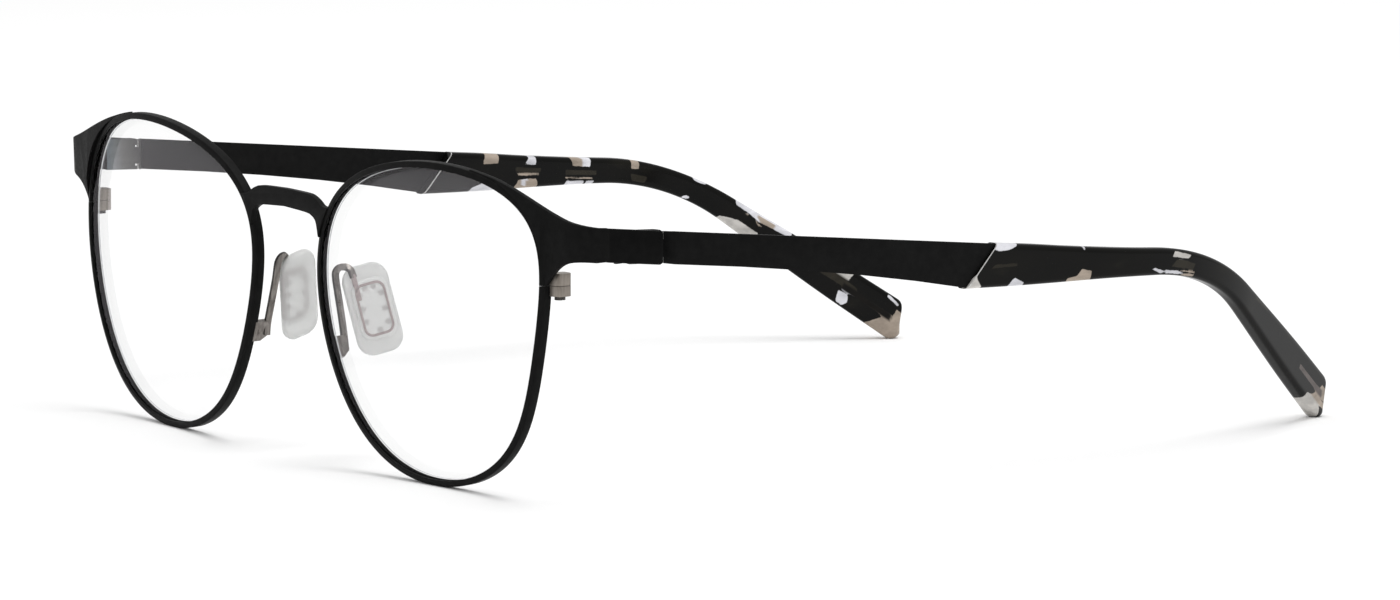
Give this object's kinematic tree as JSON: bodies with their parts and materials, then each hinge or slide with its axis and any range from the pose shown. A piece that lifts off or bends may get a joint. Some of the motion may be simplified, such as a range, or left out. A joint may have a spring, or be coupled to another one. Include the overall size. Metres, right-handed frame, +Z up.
{
  "type": "eyeglasses",
  "caption": "Round full-rim wire eyeglasses in matte black metal with clear lenses, adjustable clear nose pads, hinged flat temples and black acetate ear tips with pale flecks.",
  "frame": {"origin": "on the surface the glasses stand on, under the middle of their box, with the temples open", "axes": "+X to the wearer's left, +Y backwards along the temples, +Z up"},
  "size_m": [0.1396, 0.1469, 0.0451],
  "materials": {
    "black_metal": "matte black enamel on steel",
    "steel": "brushed gunmetal nickel",
    "lens": "clear, polished, coated",
    "silicone": "frosted translucent silicone",
    "acetate": "polished black acetate with pale pearl flecks"
  },
  "bodies": {
    "front": {"eyewire_left": "black_metal", "eyewire_right": "black_metal", "bridge": "black_metal", "endpiece_left": "black_metal", "endpiece_right": "black_metal", "lens_left": "lens", "lens_right": "lens", "closing_block_upper_left": "steel", "closing_block_upper_right": "steel", "closing_block_lower_left": "steel", "closing_block_lower_right": "steel", "closing_screw_left": "steel", "closing_screw_right": "steel", "pad_arm_left": "steel", "pad_arm_right": "steel", "nose_pad_left": "silicone", "nose_pad_right": "silicone", "hinge_bracket_left": "black_metal", "hinge_bracket_right": "black_metal", "hinge_pin_left": "steel", "hinge_pin_right": "steel"},
    "temple_left": {"temple_left": "black_metal", "temple_tip_left": "acetate"},
    "temple_right": {"temple_right": "black_metal", "temple_tip_right": "acetate"}
  },
  "joints": [
    {"name": "temple_left_fold", "type": "hinge", "parent": "front", "child": "temple_left", "pos_m": [0.06755, -0.0609, 0.0359], "axis": [0, 0, 1], "range_deg": [0, 85]},
    {"name": "temple_right_fold", "type": "hinge", "parent": "front", "child": "temple_right", "pos_m": [-0.06755, -0.0609, 0.0359], "axis": [0, 0, -1], "range_deg": [0, 74]}
  ]
}
